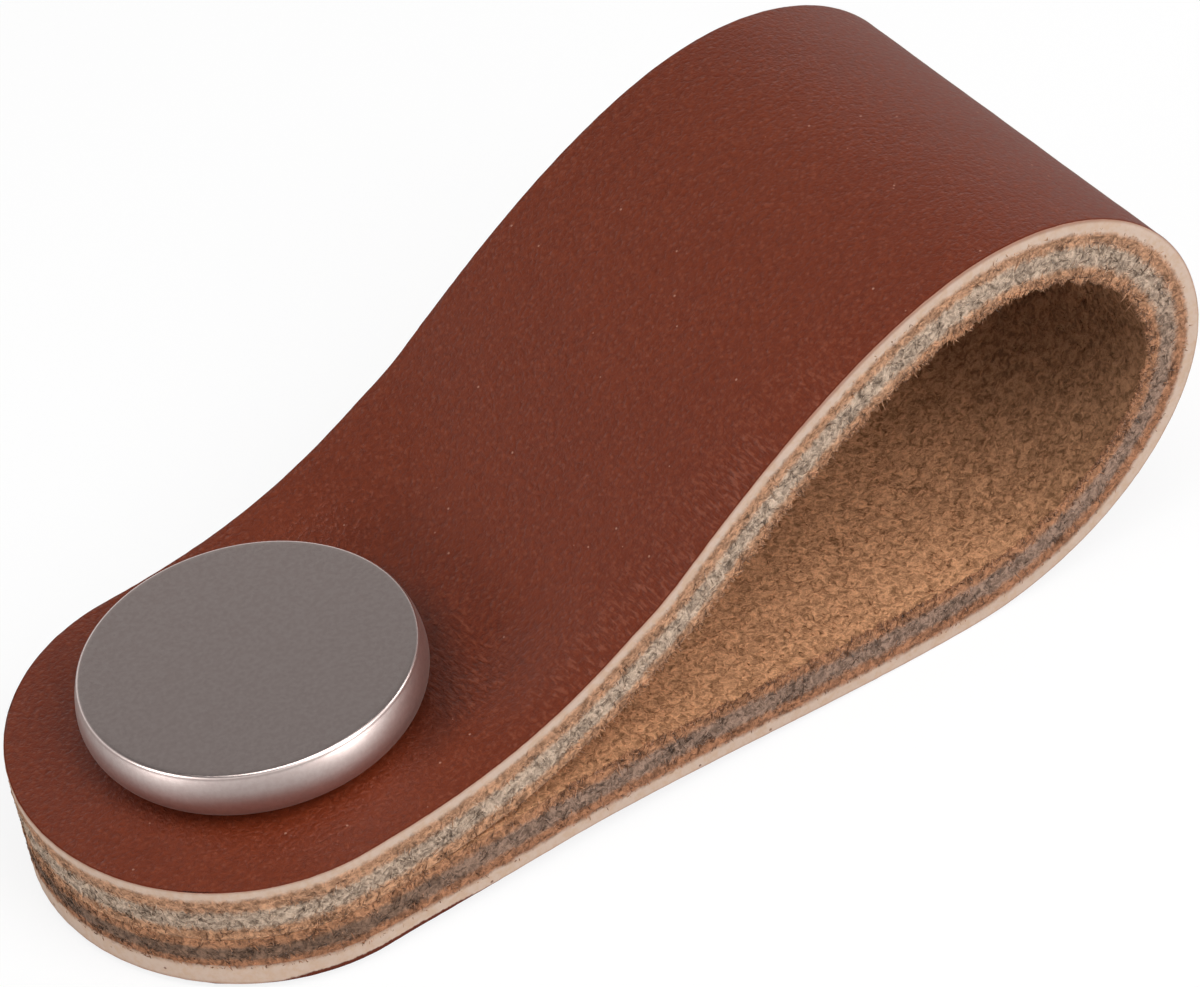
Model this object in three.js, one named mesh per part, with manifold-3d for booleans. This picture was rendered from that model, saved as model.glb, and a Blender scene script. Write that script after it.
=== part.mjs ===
import * as THREE from "three";
import { mergeVertices } from "three/addons/utils/BufferGeometryUtils.js";
import Module from "manifold-3d";

// A leather loop pull for a cabinet door or drawer, in millimetres.
// A strap of smooth leather, lined with suede, is folded back on itself into a loop.
// Its two ends lie together, and one round metal cap with a short post clamps them.
// The origin is where the fixing screw's axis meets the back face of the strap.
// +X runs along the strap to the loop, +Y across it and +Z away from the furniture.

// Strap
const STRAP_WIDTH = 26;
const OUTER_THICKNESS = 1;
const SUEDE_THICKNESS = 2.2;
// Glue line between the outer leather and its lining
const GLUE_LINE = 0.1;
// Gap between the two suede faces where the legs lie together
const LEG_GAP = 0.1;
// From the screw axis to the tip of the rounded end
const END_REACH = 13.4;
// Length of the half ellipse that rounds the end
const END_ROUND = 11.6;

// Loop, as the smooth face runs from the back face round to the cap.
// A pull is how far a curve holds its direction as it leaves or reaches a point.
// The back face is flat this far past the screw axis
const BACK_FLAT = 9;
const BACK_PULL = 7.8;
// The farthest point of the loop from the screw axis, and its height
const NOSE_REACH = 52.1;
const NOSE_HEIGHT = 10.7;
const NOSE_PULL_BELOW = 6.4;
const NOSE_PULL_ABOVE = 5.7;
// The lowest point, where the free strap bellies out below its back face
const BELLY_SETBACK = 16.6;
const BELLY_DROP = 1.7;
const BELLY_PULL_NEAR = 7.4;
const BELLY_PULL_FAR = 9.1;
// The highest point
const CREST_SETBACK = 12.1;
const CREST_HEIGHT = 21.2;
const CREST_PULL_FAR = 7.3;
const CREST_PULL_NEAR = 7.4;
// Middle of the slope that falls from the crest to the cap
const SLOPE_SETBACK = 33.1;
const SLOPE_DROP = 8.85;
const SLOPE_DEGREES = 33.5;
const SLOPE_PULL_FAR = 5.8;
const SLOPE_PULL_NEAR = 8;
// Start of the rise beside the cap
const RISE_PULL = 3;
const RISE_CLEARANCE = 0.2;

// Cap
const CAP_HEIGHT = 3.65;
const CAP_TOP_RADIUS = 9;
const CAP_BULGE = 0.25;
const CAP_BULGE_HEIGHT = 2.1;
const CAP_SEAT_RADIUS = 7;
const CAP_EDGE_ROUND = 0.12;
// Metal left between the screw hole's tip and the cap's top face
const CAP_ROOF = 1.4;
// Post, through both legs of the strap
const POST_RADIUS = 3;
const POST_CLEARANCE = 0.3;
const POST_RECESS = 0.5;
// Hole for an M4 thread
const SCREW_HOLE_RADIUS = 1.65;
const SCREW_HOLE_CHAMFER = 0.35;
const DRILL_TIP_DEGREES = 118;

// Steps along each curve
const PATH_STEPS = 20;
const END_STEPS = 18;
const HOLE_SEGMENTS = 48;
const CAP_SEGMENTS = 72;
const CAP_CURVE_STEPS = 6;
// How far a cutting body reaches past what it cuts
const CUT_MARGIN = 2;

const PLY = OUTER_THICKNESS + GLUE_LINE + SUEDE_THICKNESS;
const STACK_HEIGHT = 2 * PLY + LEG_GAP;
const HALF_WIDTH = STRAP_WIDTH / 2;
const CAP_TOP = STACK_HEIGHT + CAP_HEIGHT;
const RISE_START = CAP_SEAT_RADIUS + RISE_CLEARANCE;

const wasm = await Module();
wasm.setup();

// A closed geometry as a solid that can be cut.
function solidOf(geometry) {
  const bare = geometry.clone();
  bare.deleteAttribute("normal");
  bare.deleteAttribute("uv");
  const merged = mergeVertices(bare, 1e-4);
  return new wasm.Manifold(
    new wasm.Mesh({
      numProp: 3,
      vertProperties: merged.attributes.position.array,
      triVerts: new Uint32Array(merged.index.array),
    }),
  );
}

// A solid's surface as a geometry with flat faces.
function geometryOf(solid) {
  const mesh = solid.getMesh();
  const geometry = new THREE.BufferGeometry();
  geometry.setAttribute("position", new THREE.BufferAttribute(mesh.vertProperties, 3));
  geometry.setIndex(new THREE.BufferAttribute(mesh.triVerts, 1));
  const flat = geometry.toNonIndexed();
  flat.computeVertexNormals();
  return flat;
}

// A cubic that leaves start and reaches end in the given directions.
function reach(start, leaving, leavingPull, end, arriving, arrivingPull) {
  const first = start.clone().addScaledVector(leaving, leavingPull);
  const second = end.clone().addScaledVector(arriving, -arrivingPull);
  return new THREE.CubicBezierCurve(start, first, second, end);
}

// The smooth face seen from the side, X across and Z up, from end to end of the strap.
function smoothFacePath() {
  const outwards = new THREE.Vector2(1, 0);
  const upwards = new THREE.Vector2(0, 1);
  const backwards = new THREE.Vector2(-1, 0);
  const slope = THREE.MathUtils.degToRad(SLOPE_DEGREES);
  const downSlope = new THREE.Vector2(-Math.cos(slope), -Math.sin(slope));

  const start = new THREE.Vector2(-END_REACH - CUT_MARGIN, 0);
  const back = new THREE.Vector2(BACK_FLAT, 0);
  const belly = new THREE.Vector2(NOSE_REACH - BELLY_SETBACK, -BELLY_DROP);
  const nose = new THREE.Vector2(NOSE_REACH, NOSE_HEIGHT);
  const crest = new THREE.Vector2(NOSE_REACH - CREST_SETBACK, CREST_HEIGHT);
  const middle = new THREE.Vector2(NOSE_REACH - SLOPE_SETBACK, CREST_HEIGHT - SLOPE_DROP);
  const rise = new THREE.Vector2(RISE_START, STACK_HEIGHT);
  const finish = new THREE.Vector2(start.x, STACK_HEIGHT);

  return [
    new THREE.LineCurve(start, back),
    reach(back, outwards, BACK_PULL, belly, outwards, BELLY_PULL_NEAR),
    reach(belly, outwards, BELLY_PULL_FAR, nose, upwards, NOSE_PULL_BELOW),
    reach(nose, upwards, NOSE_PULL_ABOVE, crest, backwards, CREST_PULL_FAR),
    reach(crest, backwards, CREST_PULL_NEAR, middle, downSlope, SLOPE_PULL_FAR),
    reach(middle, downSlope, SLOPE_PULL_NEAR, rise, backwards, RISE_PULL),
    new THREE.LineCurve(rise, finish),
  ];
}

// Points and inward directions along the smooth face.
function stationsAlong(curves) {
  const stations = [];
  curves.forEach((curve, place) => {
    const steps = curve.isLineCurve ? 1 : PATH_STEPS;
    for (let step = place ? 1 : 0; step <= steps; step++) {
      const along = curve.getTangent(step / steps);
      stations.push({
        point: curve.getPoint(step / steps),
        inward: new THREE.Vector2(-along.y, along.x),
      });
    }
  });
  return stations;
}

// The layer of the strap between two depths below its smooth face, wider than the strap.
function layerSolid(stations, nearDepth, farDepth) {
  const at = (depth) => (s) => s.point.clone().addScaledVector(s.inward, depth);
  const outline = [...stations.map(at(nearDepth)), ...stations.map(at(farDepth)).reverse()];
  const width = STRAP_WIDTH + 2 * CUT_MARGIN;
  const geometry = new THREE.ExtrudeGeometry(new THREE.Shape(outline), {
    depth: width,
    bevelEnabled: false,
  });
  geometry.translate(0, 0, -width / 2);
  geometry.rotateX(Math.PI / 2);
  return solidOf(geometry);
}

// The strap's outline seen from above, straight sided with one rounded end, as a tall prism.
function planSolid() {
  const roundCentre = END_ROUND - END_REACH;
  const far = NOSE_REACH + CUT_MARGIN;
  const outline = new THREE.Shape();
  outline.moveTo(far, HALF_WIDTH);
  outline.lineTo(roundCentre, HALF_WIDTH);
  outline.absellipse(roundCentre, 0, END_ROUND, HALF_WIDTH, Math.PI / 2, 1.5 * Math.PI, false, 0);
  outline.lineTo(far, -HALF_WIDTH);
  const low = -BELLY_DROP - CUT_MARGIN;
  const geometry = new THREE.ExtrudeGeometry(outline, {
    depth: CREST_HEIGHT + CUT_MARGIN - low,
    bevelEnabled: false,
    curveSegments: END_STEPS,
  });
  geometry.translate(0, 0, low);
  return solidOf(geometry);
}

// The hole that the post passes through.
function postHoleSolid() {
  const radius = POST_RADIUS + POST_CLEARANCE;
  const depth = STACK_HEIGHT + 2 * CUT_MARGIN;
  const geometry = new THREE.CylinderGeometry(radius, radius, depth, HOLE_SEGMENTS);
  geometry.rotateX(Math.PI / 2);
  geometry.translate(0, 0, STACK_HEIGHT / 2);
  return solidOf(geometry);
}

// The cap and its post as a turned profile: radius across, height above the back face up.
function capProfile() {
  const halfTip = THREE.MathUtils.degToRad(DRILL_TIP_DEGREES / 2);
  const tip = CAP_TOP - CAP_ROOF;
  const shoulder = tip - SCREW_HOLE_RADIUS / Math.tan(halfTip);
  const mouth = SCREW_HOLE_RADIUS + SCREW_HOLE_CHAMFER;
  const widest = CAP_TOP_RADIUS + CAP_BULGE;
  const widestHeight = STACK_HEIGHT + CAP_BULGE_HEIGHT;
  const edgeHeight = CAP_TOP - CAP_EDGE_ROUND;
  const undercut = widest - CAP_SEAT_RADIUS;

  const path = new THREE.Path();
  path.moveTo(0, tip);
  path.lineTo(SCREW_HOLE_RADIUS, shoulder);
  path.lineTo(SCREW_HOLE_RADIUS, POST_RECESS + SCREW_HOLE_CHAMFER);
  path.lineTo(mouth, POST_RECESS);
  path.lineTo(POST_RADIUS, POST_RECESS);
  path.lineTo(POST_RADIUS, STACK_HEIGHT);
  path.lineTo(CAP_SEAT_RADIUS, STACK_HEIGHT);
  path.absellipse(CAP_SEAT_RADIUS, widestHeight, undercut, CAP_BULGE_HEIGHT, -Math.PI / 2, 0, false, 0);
  path.quadraticCurveTo(widest, (widestHeight + edgeHeight) / 2, CAP_TOP_RADIUS, edgeHeight);
  path.quadraticCurveTo(CAP_TOP_RADIUS, CAP_TOP, CAP_TOP_RADIUS - CAP_EDGE_ROUND, CAP_TOP);
  path.lineTo(0, CAP_TOP);
  return path.getPoints(CAP_CURVE_STEPS);
}

function leatherMaterial() {
  return new THREE.MeshStandardMaterial({ color: 0x733226, roughness: 0.55, metalness: 0 });
}

function suedeMaterial() {
  return new THREE.MeshStandardMaterial({ color: 0x8a6340, roughness: 0.95, metalness: 0 });
}

function capMaterial() {
  return new THREE.MeshStandardMaterial({ color: 0x7d7170, roughness: 0.35, metalness: 1 });
}

// One layer of the strap, cut to its outline and holed for the post.
function strapLayer(name, nearDepth, farDepth, material) {
  const layer = layerSolid(stationsAlong(smoothFacePath()), nearDepth, farDepth);
  const solid = layer.intersect(planSolid()).subtract(postHoleSolid());
  const mesh = new THREE.Mesh(geometryOf(solid), material);
  mesh.name = name;
  return mesh;
}

function outerLeather() {
  return strapLayer("outer_leather", 0, OUTER_THICKNESS, leatherMaterial());
}

function suedeLining() {
  return strapLayer("suede_lining", OUTER_THICKNESS + GLUE_LINE, PLY, suedeMaterial());
}

function cap() {
  const mesh = new THREE.Mesh(new THREE.LatheGeometry(capProfile(), CAP_SEGMENTS), capMaterial());
  mesh.rotation.x = Math.PI / 2;
  mesh.name = "cap";
  return mesh;
}

const leatherKnob = new THREE.Group();
leatherKnob.add(outerLeather(), suedeLining(), cap());

export default leatherKnob;
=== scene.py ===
"""The looks of a leather loop pull for cabinets: a suede-lined strap clamped under a round metal cap.

Sizes are in millimetres until a mesh is made. The origin is where the screw's axis meets the back face,
+X runs along the strap to the loop, +Y across it and +Z away from the furniture.
"""

import math

import bpy
import numpy as np
from mathutils import Matrix, Vector


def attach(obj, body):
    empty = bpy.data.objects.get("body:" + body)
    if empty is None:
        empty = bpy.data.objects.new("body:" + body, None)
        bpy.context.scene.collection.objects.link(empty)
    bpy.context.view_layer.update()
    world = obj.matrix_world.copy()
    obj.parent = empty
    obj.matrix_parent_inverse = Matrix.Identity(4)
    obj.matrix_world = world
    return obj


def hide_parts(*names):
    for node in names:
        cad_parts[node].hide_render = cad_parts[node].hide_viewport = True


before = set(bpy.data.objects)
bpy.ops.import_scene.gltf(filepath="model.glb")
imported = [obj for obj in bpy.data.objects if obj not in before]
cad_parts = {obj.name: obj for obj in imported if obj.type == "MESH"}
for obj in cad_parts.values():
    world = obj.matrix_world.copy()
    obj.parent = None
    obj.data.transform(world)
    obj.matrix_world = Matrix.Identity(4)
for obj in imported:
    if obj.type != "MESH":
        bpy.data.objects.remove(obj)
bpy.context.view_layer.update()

MM = 0.001
BODY = "root"
SEED = 20

# Strap, as in the solids
STRAP_WIDTH = 26
OUTER_THICKNESS = 1
SUEDE_THICKNESS = 2.2
GLUE_LINE = 0.1
LEG_GAP = 0.1
END_REACH = 13.4
END_ROUND = 11.6
BACK_FLAT = 9
BACK_PULL = 7.8
NOSE_REACH = 52.1
NOSE_HEIGHT = 10.7
NOSE_PULL_BELOW = 6.4
NOSE_PULL_ABOVE = 5.7
BELLY_SETBACK = 16.6
BELLY_DROP = 1.7
BELLY_PULL_NEAR = 7.4
BELLY_PULL_FAR = 9.1
CREST_SETBACK = 12.1
CREST_HEIGHT = 21.2
CREST_PULL_FAR = 7.3
CREST_PULL_NEAR = 7.4
SLOPE_SETBACK = 33.1
SLOPE_DROP = 8.85
SLOPE_DEGREES = 33.5
SLOPE_PULL_FAR = 5.8
SLOPE_PULL_NEAR = 8
RISE_PULL = 3
RISE_START = 7.2

# Cap, as in the solids
CAP_HEIGHT = 3.65
CAP_TOP_RADIUS = 9
CAP_BULGE = 0.25
CAP_BULGE_HEIGHT = 2.1
CAP_SEAT_RADIUS = 7
CAP_ROOF = 1.4
POST_RADIUS = 3
POST_CLEARANCE = 0.3
POST_RECESS = 0.5
DRILL_TIP_DEGREES = 118

PLY = OUTER_THICKNESS + GLUE_LINE + SUEDE_THICKNESS
STACK_HEIGHT = 2 * PLY + LEG_GAP
HALF_WIDTH = STRAP_WIDTH / 2
ROUND_CENTRE = END_ROUND - END_REACH
CAP_TOP = STACK_HEIGHT + CAP_HEIGHT

# The soft strap lifts away from the clamp along its two sides
LIFT_INSIDE = 4.5
LIFT_OUTSIDE = 12.5
LIFT_START = -1
LIFT_START_PULL = 8
LIFT_END_DEGREES = 31
LIFT_END_PULL = 8
LIFT_END_RAISE = 0.1
LIFT_FADE = 4

# Mesh steps along and across the strap
STEP_ALONG = 0.36
STEP_ACROSS = 0.36
CURVE_STEPS = 200
END_ROWS = 34

# The line of glue as it shows between leather and lining
SHOWN_GLUE_LINE = 0.005
# How far the gap between the two clamped legs closes at each face
SHOWN_LEG_CLOSING = 0.047
# The leather is a little thicker under the end of the back leg, and the lining fuller round the crest
THICK_END_GAIN = 0.36
THICK_END_START = 20
THICK_END_FULL = 5
CREST_LINING_GAIN = 0.31
CREST_LINING_RISE = (70, 78)
CREST_LINING_FALL = (104, 92)
# Grain side's edges: nearly sharp, with a rounder dyed lip along the end of the back leg
GRAIN_EDGE_RADIUS = 0.1
LIP_EDGE_RADIUS = 0.2
DYED_DEPTH = 0.035
LIP_DYED_GAIN = 0.27
LIP_START = (1, 8)
LIP_END = (21, 12)
# Depths of the rows of points over the rounded grain edge, the cut leather and the cut lining
ROUND_ROWS = (0.06, 0.2, 0.42, 0.7, 1.0)
CUT_ROWS = (0.3, 0.6, 0.85, 0.985)
LINING_ROWS = (0.01, 0.08, 0.18, 0.28, 0.38, 0.48, 0.58, 0.68, 0.78, 0.88, 0.96)
# Unevenness of each surface: height and cell of each layer of noise
GRAIN_SWELL = ((0.012, 2.1), (0.006, 0.9))
CUT_ROUGHNESS = ((0.012, 0.5), (0.008, 0.25))
NAP_ROUGHNESS = ((0.07, 0.8), (0.05, 0.4))
NAP_RAISED = 0.05
CORE_BULK = ((0.045, 0.6), (0.045, 0.3))
RAGGED_CORNER = ((0.11, 0.45), (0.09, 0.9))
# How far past the screw's axis the lining is clamped, and from where it is quite free
CLAMPED_REACH = 6
FREE_REACH = 14
# The back leg's end curls up a little
END_CURL = 0.2
END_CURL_START = -3
END_CURL_FULL = -11.5

# Fibres of the suede, each with two rings of three points and a tip
FIBRE_POINTS = 7
EDGE_FIBRES = 17000
FRINGE_TUFTS = 1500
FIBRES_IN_TUFT = 7
NAP_FIBRES = 25000
EDGE_LENGTHS = (0.25, 0.6)
EDGE_WIDTHS = (0.05, 0.11)
FRINGE_WIDTHS = (0.045, 0.085)
NAP_LENGTHS = (0.22, 0.52)
NAP_WIDTHS = (0.05, 0.09)

# M4 thread in the post
THREAD_PITCH = 0.7
THREAD_CREST_RADIUS = 1.62
THREAD_ROOT_RADIUS = 2.0
THREAD_DEPTH = THREAD_ROOT_RADIUS - THREAD_CREST_RADIUS
THREAD_CHAMFER = 0.35
THREAD_ROWS_PER_PITCH = 10
# Rows over which the thread fades at the post's mouth and at the drill's tip
THREAD_FADE_MOUTH = 8
THREAD_FADE_TIP = 12
# The cap's top edge is softer than in the solids
SHOWN_CAP_EDGE_ROUND = 0.2
CAP_SEGMENTS = 192
HOLE_SEGMENTS = 96

# Camera, fitted to the photograph's outlines
CAMERA_AZIMUTH = -26.95
CAMERA_ELEVATION = 40.24
CAMERA_ROLL = -11.60
CAMERA_DISTANCE = 366.6
CAMERA_RIGHT = 16.56
CAMERA_UP = 16.10
CAMERA_LENS = 210.2
SENSOR_WIDTH = 36
CAMERA_CLIP = (0.01, 50)


def smoothstep(low, high, value):
    t = np.clip((np.asarray(value, float) - low) / (high - low), 0, 1)
    return t * t * (3 - 2 * t)


def unit(vectors):
    return vectors / np.linalg.norm(vectors, axis=-1, keepdims=True)


def noise(points, cell, seed):
    """Smooth noise from -1 to 1 at each point, with features about one cell wide."""
    scaled = np.asarray(points, float) / cell
    low = np.floor(scaled).astype(np.int64)
    part = scaled - low
    part = part * part * (3 - 2 * part)
    total = np.zeros(len(scaled))
    for corner in np.ndindex(2, 2, 2):
        at = low + np.array(corner)
        mixed = (at[:, 0] * 73856093) ^ (at[:, 1] * 19349663) ^ (at[:, 2] * 83492791) ^ (seed * 40503)
        mixed = (mixed ^ (mixed >> 13)) * 1274126177 & 0xFFFFFFFF
        value = ((mixed >> 9) & 0xFFFF) / 32767.5 - 1
        total += value * np.prod(np.where(corner, part, 1 - part), axis=1)
    return total


def layered_noise(points, seed, layers):
    """The sum of noises, each given by its height and its cell."""
    return sum(height * noise(points, cell, seed + k) for k, (height, cell) in enumerate(layers))


def reach(start, leaving, leaving_pull, end, arriving, arriving_pull):
    """A cubic that leaves start and reaches end in the given directions."""
    start, leaving, end, arriving = (np.array(p, float) for p in (start, leaving, end, arriving))
    first = start + leaving * leaving_pull
    second = end - arriving * arriving_pull
    t = np.linspace(0, 1, CURVE_STEPS + 1)[:, None]
    return (1 - t) ** 3 * start + 3 * (1 - t) ** 2 * t * first + 3 * (1 - t) * t**2 * second + t**3 * end


OUTWARDS = (1, 0)
UPWARDS = (0, 1)
BACKWARDS = (-1, 0)
SLOPE_MIDDLE = (NOSE_REACH - SLOPE_SETBACK, CREST_HEIGHT - SLOPE_DROP)


def down_slope(degrees):
    return (-math.cos(math.radians(degrees)), -math.sin(math.radians(degrees)))


def smooth_face_path():
    """X and Z of the smooth face at the strap's middle, evenly spaced, without the rounded ends."""
    back = (BACK_FLAT, 0)
    belly = (NOSE_REACH - BELLY_SETBACK, -BELLY_DROP)
    nose = (NOSE_REACH, NOSE_HEIGHT)
    crest = (NOSE_REACH - CREST_SETBACK, CREST_HEIGHT)
    rise = (RISE_START, STACK_HEIGHT)
    falling = down_slope(SLOPE_DEGREES)
    stretches = [
        np.array([(ROUND_CENTRE, 0), back], float),
        reach(back, OUTWARDS, BACK_PULL, belly, OUTWARDS, BELLY_PULL_NEAR),
        reach(belly, OUTWARDS, BELLY_PULL_FAR, nose, UPWARDS, NOSE_PULL_BELOW),
        reach(nose, UPWARDS, NOSE_PULL_ABOVE, crest, BACKWARDS, CREST_PULL_FAR),
        reach(crest, BACKWARDS, CREST_PULL_NEAR, SLOPE_MIDDLE, falling, SLOPE_PULL_FAR),
        reach(SLOPE_MIDDLE, falling, SLOPE_PULL_NEAR, rise, BACKWARDS, RISE_PULL),
        np.array([rise, (ROUND_CENTRE, STACK_HEIGHT)], float),
    ]
    points = np.concatenate([stretches[0]] + [s[1:] for s in stretches[1:]])
    run = np.concatenate([[0], np.cumsum(np.linalg.norm(np.diff(points, axis=0), axis=1))])
    even = np.linspace(0, run[-1], round(run[-1] / STEP_ALONG) + 1)
    return np.stack([np.interp(even, run, points[:, k]) for k in (0, 1)], axis=1)


def lift_curve():
    """X and Z of the strap's side edge, where it leaves the clamp sooner than the middle does."""
    end = (SLOPE_MIDDLE[0], SLOPE_MIDDLE[1] + LIFT_END_RAISE)
    falling = down_slope(LIFT_END_DEGREES)
    start = (LIFT_START, STACK_HEIGHT)
    return reach(end, falling, LIFT_END_PULL, start, BACKWARDS, LIFT_START_PULL)[::-1]


def strap_body(path, across):
    """The grid between the rounded ends, lifted along its sides beside the clamp."""
    points = np.zeros((len(path), len(across), 3))
    points[..., 0] = path[:, :1]
    points[..., 1] = across[None, :] * HALF_WIDTH
    points[..., 2] = path[:, 1:]
    above_crest = np.arange(len(path)) > np.argmax(path[:, 1])
    edge = lift_curve()
    edge_height = np.interp(path[:, 0], edge[:, 0], edge[:, 1], left=STACK_HEIGHT)
    raised = np.clip(edge_height - path[:, 1], 0, None) * above_crest
    raised *= 1 - smoothstep(SLOPE_MIDDLE[0] - LIFT_FADE, SLOPE_MIDDLE[0], path[:, 0])
    share = smoothstep(LIFT_INSIDE, LIFT_OUTSIDE, abs(across) * HALF_WIDTH)
    points[..., 2] += raised[:, None] * share[None, :]
    return points


def rounded_end(across, height):
    """Rows from the round's centre line out to its tip, a square grid fitted to a half ellipse."""
    out = np.linspace(0, 1, END_ROWS + 1)[:, None]
    side = across[None, :]
    points = np.zeros((END_ROWS + 1, len(across), 3))
    points[..., 0] = ROUND_CENTRE - END_ROUND * out * np.sqrt(1 - side**2 / 2)
    points[..., 1] = HALF_WIDTH * side * np.sqrt(1 - out**2 / 2)
    points[..., 2] = height
    return points


class Strap:
    """The smooth face as a grid of points, with inward directions and the distance along the strap."""

    def __init__(self):
        path = smooth_face_path()
        columns = round(STRAP_WIDTH / STEP_ACROSS) + 1
        across = np.linspace(-1, 1, columns)
        body = strap_body(path, across)
        low_end = rounded_end(across, 0)[::-1]
        low_end[..., 2] += END_CURL * smoothstep(END_CURL_START, END_CURL_FULL, low_end[..., 0])
        high_end = rounded_end(across, STACK_HEIGHT)
        self.points = np.concatenate([low_end[:-1], body, high_end[1:]])
        self.rows = len(self.points)
        self.columns = columns
        upright = np.zeros((END_ROWS, columns, 3))
        upright[..., 2] = 1
        inward = unit(np.cross(np.gradient(body, axis=0), np.gradient(body, axis=1)))
        self.inward = np.concatenate([upright, inward, -upright])
        middle = self.points[:, columns // 2]
        steps = np.linalg.norm(np.diff(middle, axis=0), axis=1)
        self.along = np.repeat(np.concatenate([[0], np.cumsum(steps)])[:, None], columns, axis=1)
        self.length = self.along[-1, 0]
        self.loop = self.perimeter()
        self.rim = (self.loop[:, 0], self.loop[:, 1])
        self.outward = self.outward_of()

    def perimeter(self):
        """Row and column of each point round the grid's edge, in order."""
        rows, columns = self.rows, self.columns
        first = [(0, j) for j in range(columns)]
        far = [(i, columns - 1) for i in range(1, rows)]
        last = [(rows - 1, j) for j in range(columns - 2, -1, -1)]
        near = [(i, 0) for i in range(rows - 2, 0, -1)]
        return np.array(first + far + last + near)

    def outward_of(self):
        """The direction away from the strap at each point of its edge."""
        rim = self.points[self.rim]
        outward = np.zeros((len(rim), 3))
        outward[:, 1] = np.sign(rim[:, 1])
        row = self.loop[:, 0]
        ends = (row < END_ROWS) | (row >= self.rows - END_ROWS)
        outward[ends, 0] = (rim[ends, 0] - ROUND_CENTRE) / END_ROUND**2
        outward[ends, 1] = rim[ends, 1] / HALF_WIDTH**2
        return unit(outward)

    def at_rim(self):
        """Points, inward directions and distances along the strap at its edge."""
        return self.points[self.rim], self.inward[self.rim], self.along[self.rim]


def new_object(name, data):
    made = bpy.data.objects.new(name, data)
    bpy.context.scene.collection.objects.link(made)
    return made


def mesh_object(name, points, quads, triangles=None, values=None, materials=(), slots=None):
    """A smooth-shaded mesh object from points in millimetres and arrays of corners."""
    quads = np.asarray(quads, np.int32).reshape(-1, 4)
    triangles = np.zeros((0, 3), np.int32) if triangles is None else np.asarray(triangles, np.int32)
    corners = np.concatenate([quads.ravel(), triangles.ravel()])
    sizes = np.concatenate([np.full(len(quads), 4), np.full(len(triangles), 3)])
    mesh = bpy.data.meshes.new(name)
    mesh.vertices.add(len(points))
    mesh.vertices.foreach_set("co", (np.asarray(points) * MM).astype(np.float32).ravel())
    mesh.loops.add(len(corners))
    mesh.loops.foreach_set("vertex_index", corners)
    mesh.polygons.add(len(sizes))
    starts = np.concatenate([[0], np.cumsum(sizes)[:-1]])
    mesh.polygons.foreach_set("loop_start", starts.astype(np.int32))
    mesh.polygons.foreach_set("use_smooth", np.ones(len(sizes), bool))
    if slots is not None:
        mesh.polygons.foreach_set("material_index", np.asarray(slots, np.int32))
    for key, value in (values or {}).items():
        attribute = mesh.attributes.new(key, "FLOAT", "POINT")
        attribute.data.foreach_set("value", np.asarray(value, np.float32))
    mesh.update(calc_edges=True)
    mesh.validate()
    for material in materials:
        mesh.materials.append(material)
    return new_object(name, mesh)


def grid_quads(rows, columns, first=0):
    i, j = np.meshgrid(np.arange(rows - 1), np.arange(columns - 1), indexing="ij")
    a = first + i * columns + j
    return np.stack([a, a + 1, a + columns + 1, a + columns], axis=-1).reshape(-1, 4)


def turned_mesh(name, radius, height, ends, materials=()):
    """Rows of points round the Z axis, with the first and last row closed to two heights on the axis."""
    rows, count = radius.shape
    turn = np.linspace(0, 2 * math.pi, count, endpoint=False)
    points = np.stack([radius * np.cos(turn), radius * np.sin(turn), height], axis=-1).reshape(-1, 3)
    points = np.concatenate([points, [[0, 0, end] for end in ends]])
    k = np.arange(count)
    after = (k + 1) % count
    row = np.arange(rows - 1)[:, None] * count
    quads = np.stack([row + k, row + after, row + count + after, row + count + k], axis=-1)
    last = (rows - 1) * count
    first_fan = np.stack([after, k, np.full(count, rows * count)], axis=1)
    last_fan = np.stack([last + k, last + after, np.full(count, rows * count + 1)], axis=1)
    return mesh_object(name, points, quads, np.concatenate([first_fan, last_fan]), materials=materials)


def closed_layer(name, strap, outer, inner, wall_rows, values, materials):
    """A closed mesh of an outer grid, an inner grid and rows of wall points between their edges.

    Faces on the outer grid take material 0, on the wall 1 and on the inner grid 2.
    """
    rows, columns = strap.rows, strap.columns
    count = rows * columns
    rim = strap.loop[:, 0] * columns + strap.loop[:, 1]
    points = [outer.reshape(-1, 3), inner.reshape(-1, 3), *wall_rows]
    levels = [rim]
    levels += [2 * count + k * len(rim) + np.arange(len(rim)) for k in range(len(wall_rows))]
    levels += [count + rim]
    outer_quads = grid_quads(rows, columns)
    inner_quads = grid_quads(rows, columns, count)[:, ::-1]
    wall = []
    for upper, lower in zip(levels[:-1], levels[1:]):
        wall.append(np.stack([np.roll(upper, -1), upper, lower, np.roll(lower, -1)], axis=1))
    wall = np.concatenate(wall)
    quads = np.concatenate([outer_quads, wall, inner_quads])
    slots = np.repeat([0, 1, 2], [len(outer_quads), len(wall), len(inner_quads)])
    return mesh_object(name, np.concatenate(points), quads, None, values, materials, slots)


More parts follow.
